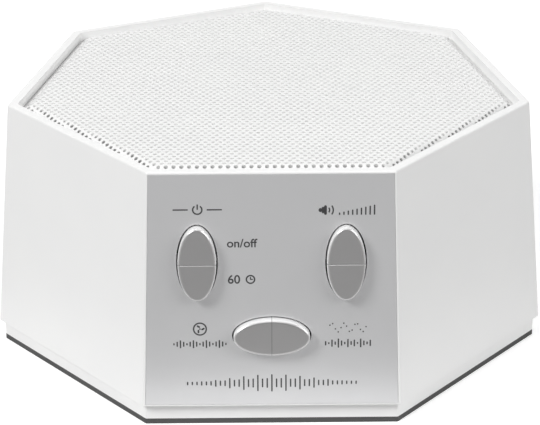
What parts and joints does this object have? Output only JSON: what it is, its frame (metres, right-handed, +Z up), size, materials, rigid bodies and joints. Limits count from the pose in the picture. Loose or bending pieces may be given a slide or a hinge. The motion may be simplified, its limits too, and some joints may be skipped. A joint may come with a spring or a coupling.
{
  "type": "white noise sound machine",
  "caption": "Compact sound machine: white seven-sided housing, perforated speaker grille on top, grey front panel with oval rocker keys, and a plinth on a rubber foot.",
  "frame": {"origin": "on the table, at the centre of the seven-sided outline, in the plane of the foot's underside", "axes": "+Z up through the grille, -Y out through the front panel, +X towards the volume key"},
  "size_m": [0.112, 0.11, 0.0516],
  "materials": {
    "housing_white": "satin moulded plastic, very fine grain",
    "grille_white": "smooth white coat on perforated sheet",
    "cloth_white": "fine plain weave",
    "fascia_grey": "satin with a faint sheen",
    "key_grey": "satin with a fine grain",
    "foot_rubber": "matt",
    "screw_steel": "zinc plated, lightly turned",
    "silicone": "matt, slightly clear",
    "board_green": "semi-gloss solder mask over copper tracks",
    "nylon": "natural nylon",
    "ribbon_grey": "flat sleeve with a ridge for each wire",
    "speaker_black": "black stoved coat on pressed steel",
    "zinc_steel": "yellow-passivated zinc",
    "ferrite": "ground faces, rough as fired at the edge",
    "gasket_foam": "closed-cell foam",
    "cone_paper": "pressed paper, faintly fibrous",
    "surround_rubber": "smooth",
    "spider_cloth": "resin-stiffened weave",
    "coil_copper": "enamelled wire",
    "tag_brown": "phenolic paper board",
    "tin": "tinned",
    "wire_red": "smooth sleeve",
    "wire_black": "smooth sleeve",
    "chip_black": "fine moulded grain",
    "can_aluminium": "drawn, brushed round the side",
    "can_steel": "drawn and nickel plated",
    "socket_black": "moulded, semi-matt"
  },
  "bodies": {
    "chassis": {"housing": "housing_white", "grille": "grille_white", "grille_cloth": "cloth_white", "front_fascia": "fascia_grey", "power_dome_pad": "silicone", "volume_dome_pad": "silicone", "sound_dome_pad": "silicone", "control_board": "board_green", "control_board_screws": "screw_steel", "control_board_header": "nylon", "control_board_chips": "chip_black", "base_cover": "housing_white", "base_screws": "screw_steel", "foot_pad": "foot_rubber", "speaker_gasket": "gasket_foam", "speaker_frame": "speaker_black", "speaker_screws": "screw_steel", "speaker_top_plate": "zinc_steel", "speaker_magnet": "ferrite", "speaker_yoke": "zinc_steel", "speaker_surround": "surround_rubber", "speaker_spider": "spider_cloth", "speaker_tag_board": "tag_brown", "speaker_tabs": "tin", "speaker_header": "nylon", "speaker_lead_red": "wire_red", "speaker_lead_black": "wire_black", "main_board": "board_green", "main_board_screws": "screw_steel", "main_board_header": "nylon", "ribbon_cable": "ribbon_grey", "processor": "chip_black", "amplifier": "chip_black", "capacitors": "can_aluminium", "inductor": "ferrite", "crystal": "can_steel", "chip_parts": "chip_black", "power_socket": "socket_black", "audio_socket": "socket_black", "power_socket_pin": "tin", "socket_contacts": "tin"},
    "power_rocker": {"power_rocker": "key_grey"},
    "volume_rocker": {"volume_rocker": "key_grey"},
    "sound_rocker": {"sound_rocker": "key_grey"},
    "cone_assembly": {"speaker_cone": "cone_paper", "dust_cap": "cone_paper", "voice_coil": "coil_copper"}
  },
  "joints": [
    {"name": "power_rocker_tilt", "type": "hinge", "parent": "chassis", "child": "power_rocker", "pos_m": [-0.0141, -0.04666, 0.03346], "axis": [1, 0, 0], "range_deg": [-4, 4], "stiffness_Nm_per_rad": 0.1, "deforming": ["power_dome_pad"]},
    {"name": "volume_rocker_tilt", "type": "hinge", "parent": "chassis", "child": "volume_rocker", "pos_m": [0.0141, -0.04666, 0.03346], "axis": [1, 0, 0], "range_deg": [-4, 4], "stiffness_Nm_per_rad": 0.1, "deforming": ["volume_dome_pad"]},
    {"name": "sound_rocker_tilt", "type": "hinge", "parent": "chassis", "child": "sound_rocker", "pos_m": [0, -0.04773, 0.01855], "axis": [0, 0.0711, 0.9975], "range_deg": [-4, 4], "stiffness_Nm_per_rad": 0.1, "deforming": ["sound_dome_pad"]},
    {"name": "cone_stroke", "type": "slide", "parent": "chassis", "child": "cone_assembly", "axis": [0, 0, 1], "range_m": [-0.001, 0.001], "stiffness_N_per_m": 1500, "deforming": ["speaker_surround", "speaker_spider"]}
  ]
}
